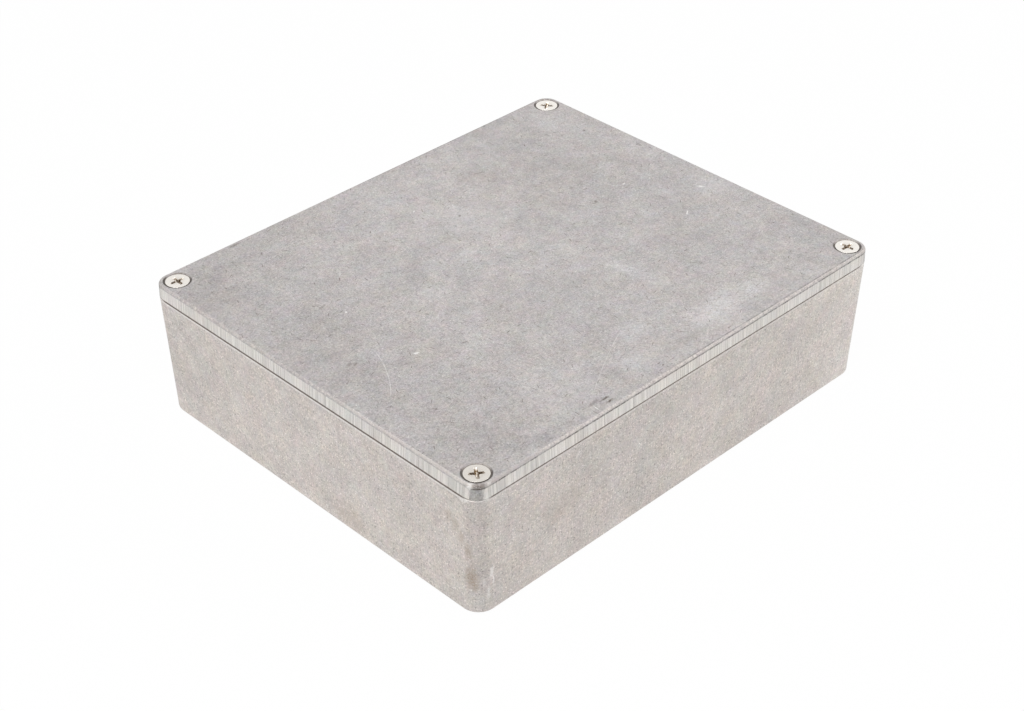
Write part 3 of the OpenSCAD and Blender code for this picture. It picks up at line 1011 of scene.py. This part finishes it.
class ENCLOSURE_OT_screws(bpy.types.Operator):
    """Makes the four countersunk screws with their recesses and rolled threads"""

    bl_idname = "enclosure.make_screws"
    bl_label = "Make the screws"

    def execute(self, context):
        form = context.scene.screw_form
        tree = thread_tree()
        labels = {item.name: item.identifier for item in tree.interface.items_tree
                  if item.in_out == "INPUT"}
        material = plated_material(form)
        for name, (turn, tone) in SCREWS.items():
            low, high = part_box(name)
            length = high.z - low.z
            blank = new_object(context, "blank", screw_blank(form, length))
            modifier = blank.modifiers.new("Rolled thread", "NODES")
            modifier.node_group = tree
            neck = form.head_rim + form.head_radius - form.core_radius
            values = {
                "Core Radius": form.core_radius,
                "Thread Height": form.thread_height,
                "Pitch": form.pitch,
                "Thread Length": length - neck - 1.3 * MM,
                "Thread End": length - 0.6 * MM,
                "Turn": math.radians(turn),
                "Tone": tone,
                "Place": ((low.x + high.x) / 2, (low.y + high.y) / 2, high.z),
                "Finish": material,
            }
            for label, value in values.items():
                modifier[labels[label]] = value
            context.view_layer.update()
            evaluated = blank.evaluated_get(context.evaluated_depsgraph_get())
            mesh = bpy.data.meshes.new_from_object(evaluated)
            piece = new_object(context, name + "_threaded", mesh)
            mesh.shade_smooth()
            mesh.set_sharp_from_angle(angle=math.radians(32))
            bpy.data.objects.remove(blank)
            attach(piece, name)
            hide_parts(name)
        return {"FINISHED"}


class ENCLOSURE_OT_studio(bpy.types.Operator):
    """Sets up the pale floor, the white room, the lamps and the camera"""

    bl_idname = "enclosure.set_studio"
    bl_label = "Set up the studio"

    def execute(self, context):
        setup = context.scene.studio_setup
        scene = context.scene
        scene.view_settings.view_transform = "Standard"

        half = setup.floor_size / 2
        mesh = bpy.data.meshes.new("studio_floor")
        gap = 0.05 * MM
        corners = [(x * half, y * half, -gap) for x, y in ((-1, -1), (1, -1), (1, 1), (-1, 1))]
        mesh.from_pydata(corners, [], [(0, 1, 2, 3)])
        floor = new_object(context, "studio_floor", mesh)
        mesh.materials.append(self.floor_material())

        world = bpy.data.worlds.new("white_room")
        world.use_nodes = True
        scene.world = world
        background = world.node_tree.nodes["Background"]
        background.inputs["Color"].default_value = (1.0, 1.0, 1.0, 1.0)
        seen = seen_directly(world.node_tree)
        strength = seen * (1.0 - setup.world_level) + setup.world_level
        feed(world.node_tree, background.inputs["Strength"], strength)

        self.lamp(context, "key_lamp", (-0.55, -0.15, 0.95), 0.7, setup.key_power)
        self.lamp(context, "fill_lamp", (0.75, -0.65, 0.60), 0.6, setup.fill_power)

        camera_data = bpy.data.cameras.new("studio_camera")
        camera_data.sensor_width = 36.0
        camera_data.lens = setup.lens
        camera_data.clip_start = 0.01
        camera_data.clip_end = 30.0
        camera = new_object(context, "studio_camera", camera_data)
        turn = Euler((math.pi / 2 - setup.elevation, 0.0, setup.azimuth), "XYZ").to_matrix()
        turn = turn @ Matrix.Rotation(setup.roll, 3, "Z")
        place = Vector(setup.aim) + turn @ Vector((0.0, 0.0, setup.distance))
        camera.matrix_world = Matrix.Translation(place) @ turn.to_4x4()
        scene.camera = camera
        return {"FINISHED"}

    def floor_material(self):
        """White to the camera, with the box's soft shadow; plain pale to the light; clear from below"""
        material, tree, shader, _, _ = new_material("studio_floor_white")
        shader.inputs["Base Color"].default_value = (0.88, 0.88, 0.88, 1.0)
        shader.inputs["Roughness"].default_value = 0.9
        glow = add(tree, "ShaderNodeEmission", {"Strength": 1.0})
        mix = add(tree, "ShaderNodeMixShader", {
            0: seen_directly(tree) * 0.975, 1: shader.outputs[0], 2: glow.outputs[0]})
        side = tree.nodes.new("ShaderNodeNewGeometry")
        clear = tree.nodes.new("ShaderNodeBsdfTransparent")
        either = add(tree, "ShaderNodeMixShader", {
            0: side.outputs["Backfacing"], 1: mix.outputs[0], 2: clear.outputs[0]})
        feed(tree, tree.nodes["Material Output"].inputs["Surface"], either.outputs[0])
        return material

    def lamp(self, context, name, place, size, power):
        data = bpy.data.lights.new(name, "AREA")
        data.shape = "DISK"
        data.size = size
        data.energy = power
        turn = (Vector(place) * -1).to_track_quat("-Z", "Y")
        new_object(context, name, data).matrix_world = Matrix.Translation(place) @ turn.to_matrix().to_4x4()


def seen_directly(tree):
    """1 for rays that show a white background: from the camera, off gloss and through glass"""
    path = tree.nodes.new("ShaderNodeLightPath")
    camera = Field(tree, path.outputs["Is Camera Ray"])
    gloss = Field(tree, path.outputs["Is Glossy Ray"])
    through = Field(tree, path.outputs["Is Transmission Ray"])
    return camera.most(gloss).most(through)


class ENCLOSURE_PT_panel(bpy.types.Panel):
    """Lists the steps that dress the enclosure"""

    bl_idname = "ENCLOSURE_PT_panel"
    bl_label = "Die-cast enclosure"
    bl_space_type = "VIEW_3D"
    bl_region_type = "UI"
    bl_category = "Enclosure"

    def draw(self, context):
        layout = self.layout
        for operator in OPERATORS:
            layout.operator(operator.bl_idname)


OPERATORS = (ENCLOSURE_OT_studio, ENCLOSURE_OT_tub, ENCLOSURE_OT_corners, ENCLOSURE_OT_lid,
             ENCLOSURE_OT_screws)
SETTINGS = {"casting_finish": CastingFinish, "corner_form": CornerForm, "screw_form": ScrewForm,
            "studio_setup": StudioSetup}


def register():
    for item in (*SETTINGS.values(), *OPERATORS, ENCLOSURE_PT_panel):
        bpy.utils.register_class(item)
    for name, kind in SETTINGS.items():
        setattr(bpy.types.Scene, name, PointerProperty(type=kind))


def unregister():
    for name in SETTINGS:
        delattr(bpy.types.Scene, name)
    for item in (ENCLOSURE_PT_panel, *reversed(OPERATORS), *reversed(list(SETTINGS.values()))):
        bpy.utils.unregister_class(item)


def main():
    register()
    bpy.ops.enclosure.set_studio()
    bpy.ops.enclosure.finish_tub()
    bpy.ops.enclosure.fill_corners()
    bpy.ops.enclosure.finish_lid()
    bpy.ops.enclosure.make_screws()


if __name__ == "__main__":
    main()
